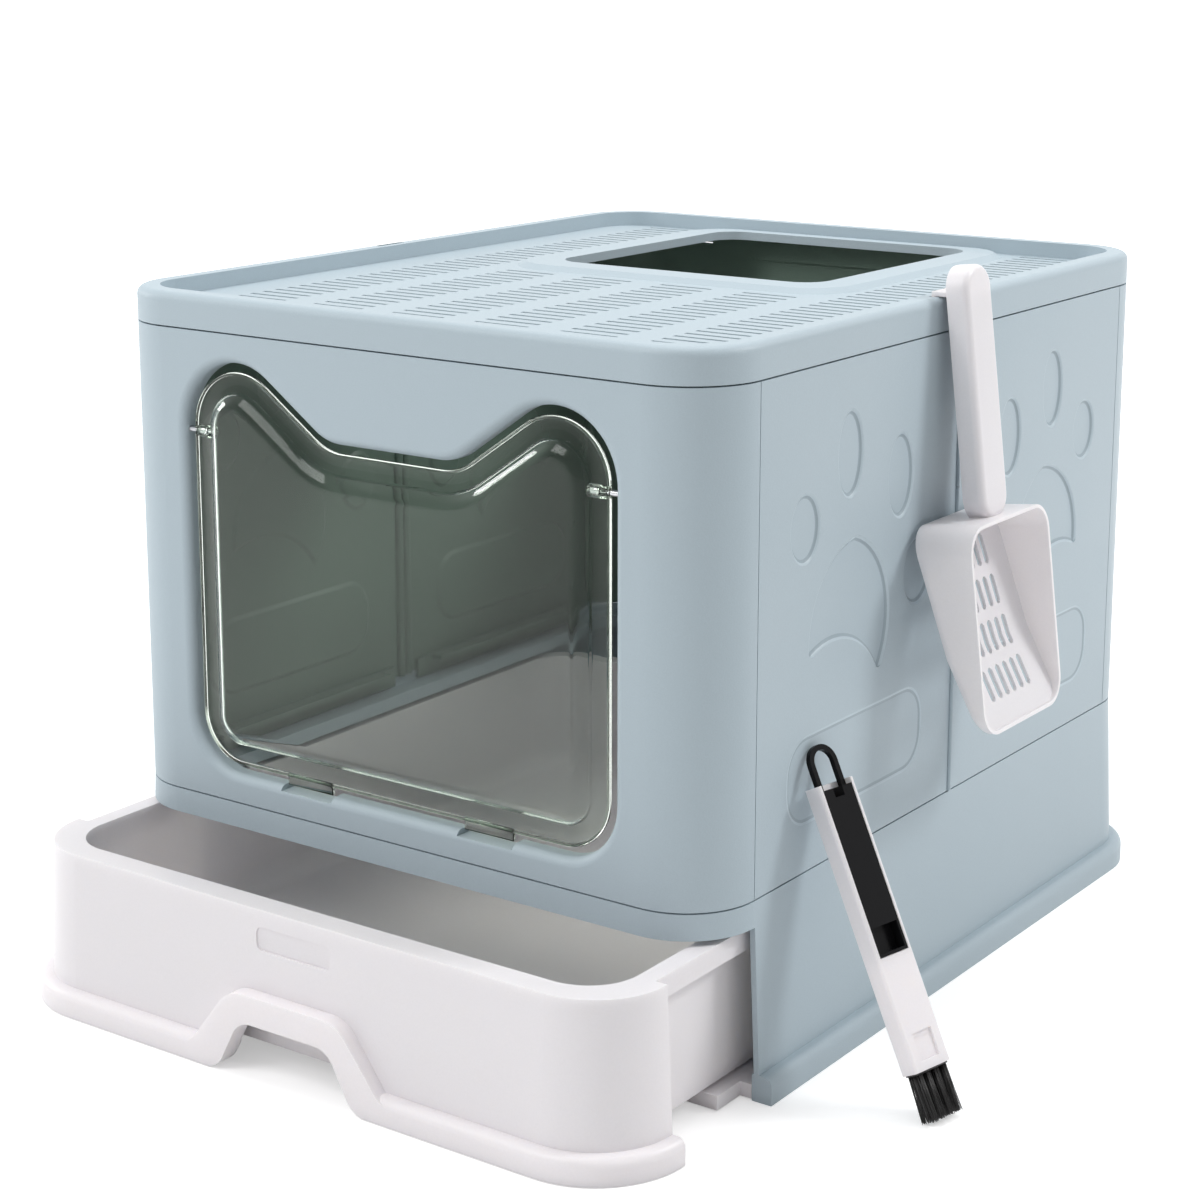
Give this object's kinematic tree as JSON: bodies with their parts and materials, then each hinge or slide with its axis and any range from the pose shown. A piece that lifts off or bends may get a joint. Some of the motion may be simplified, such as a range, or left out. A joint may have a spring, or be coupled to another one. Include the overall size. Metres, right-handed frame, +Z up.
{
  "type": "foldable litter box",
  "caption": "Foldable enclosed litter box with slotted top-entry lid, clear swing door, folding side walls, pull-out litter drawer, hanging sieve scoop and leaning brush.",
  "frame": {"origin": "centre of the base's footprint, on the floor it stands on", "axes": "+Z up, -Y towards the doorway and the drawer front, +X towards the side with the scoop"},
  "size_m": [0.5196, 0.61, 0.418],
  "materials": {
    "shell_blue": "fine moulded grain",
    "white_plastic": "smooth satin",
    "clear_plastic": "clear, polished",
    "pin_steel": "drawn wire",
    "black_plastic": "polished",
    "bristle_black": "fine strands"
  },
  "bodies": {
    "base": {"base_frame": "shell_blue", "floor_frame": "white_plastic"},
    "drawer": {"drawer": "white_plastic"},
    "back_wall": {"back_panel": "shell_blue", "rear_left_pin": "pin_steel", "rear_right_pin": "pin_steel"},
    "rear_right_wall": {"rear_right_side": "shell_blue", "mid_right_pin": "pin_steel"},
    "front_right_wall": {"front_right_side": "shell_blue", "front_right_pin": "pin_steel"},
    "rear_left_wall": {"rear_left_side": "shell_blue", "mid_left_pin": "pin_steel"},
    "front_left_wall": {"front_left_side": "shell_blue", "front_left_pin": "pin_steel"},
    "front_wall": {"front_panel": "shell_blue"},
    "door": {"door_flap": "clear_plastic", "door_pins": "pin_steel"},
    "lid": {"lid": "shell_blue"},
    "scoop": {"scoop": "white_plastic"},
    "brush": {"brush_handle": "white_plastic", "brush_bristles": "bristle_black"},
    "dustpan": {"brush_dustpan": "black_plastic"}
  },
  "joints": [
    {"name": "drawer_slide", "type": "slide", "parent": "base", "child": "drawer", "axis": [0, -1, 0], "range_m": [-0.08, 0.36]},
    {"name": "walls_lift", "type": "slide", "parent": "base", "child": "back_wall", "axis": [0, 0, 1], "range_m": [0, 0.2]},
    {"name": "lid_lift", "type": "slide", "parent": "back_wall", "child": "lid", "axis": [0, 0, 1], "range_m": [0, 0.2]},
    {"name": "scoop_lift", "type": "slide", "parent": "lid", "child": "scoop", "axis": [0, 0, 1], "range_m": [0, 0.15]},
    {"name": "wall_fold", "type": "hinge", "parent": "back_wall", "child": "rear_right_wall", "pos_m": [0.1988, 0.21, 0.2455], "axis": [0, 0, -1], "range_deg": [0, 92]},
    {"name": "mid_right_fold", "type": "hinge", "parent": "rear_right_wall", "child": "front_right_wall", "pos_m": [0.2053, 0, 0.2455], "axis": [0, 0, 1], "range_deg": [0, 178.01]},
    {"name": "rear_left_fold", "type": "hinge", "parent": "back_wall", "child": "rear_left_wall", "pos_m": [-0.1988, 0.21, 0.2455], "axis": [0, 0, 1], "range_deg": [0, 86.01]},
    {"name": "mid_left_fold", "type": "hinge", "parent": "rear_left_wall", "child": "front_left_wall", "pos_m": [-0.2053, 0, 0.2455], "axis": [0, 0, -1], "range_deg": [0, 178.01]},
    {"name": "front_left_fold", "type": "hinge", "parent": "front_left_wall", "child": "front_wall", "pos_m": [-0.1988, -0.21, 0.2455], "axis": [0, 0, 1], "range_deg": [0, 92]},
    {"name": "door_swing", "type": "hinge", "parent": "front_wall", "child": "door", "pos_m": [0, -0.2475, 0.323], "axis": [-1, 0, 0], "range_deg": [-75, 75]},
    {"name": "brush_take", "type": "slide", "parent": "base", "child": "brush", "axis": [0.866, 0, 0.5], "range_m": [0, 0.15]},
    {"name": "dustpan_lift", "type": "slide", "parent": "brush", "child": "dustpan", "axis": [0.866, -0.1841, 0.4648], "range_m": [0, 0.05]}
  ],
  "couplings": [
    {"joint": "mid_right_fold", "follows": "wall_fold", "ratio": 1.9348},
    {"joint": "rear_left_fold", "follows": "wall_fold", "ratio": 0.93478},
    {"joint": "mid_left_fold", "follows": "wall_fold", "ratio": 1.9348},
    {"joint": "front_left_fold", "follows": "wall_fold", "ratio": 1}
  ]
}
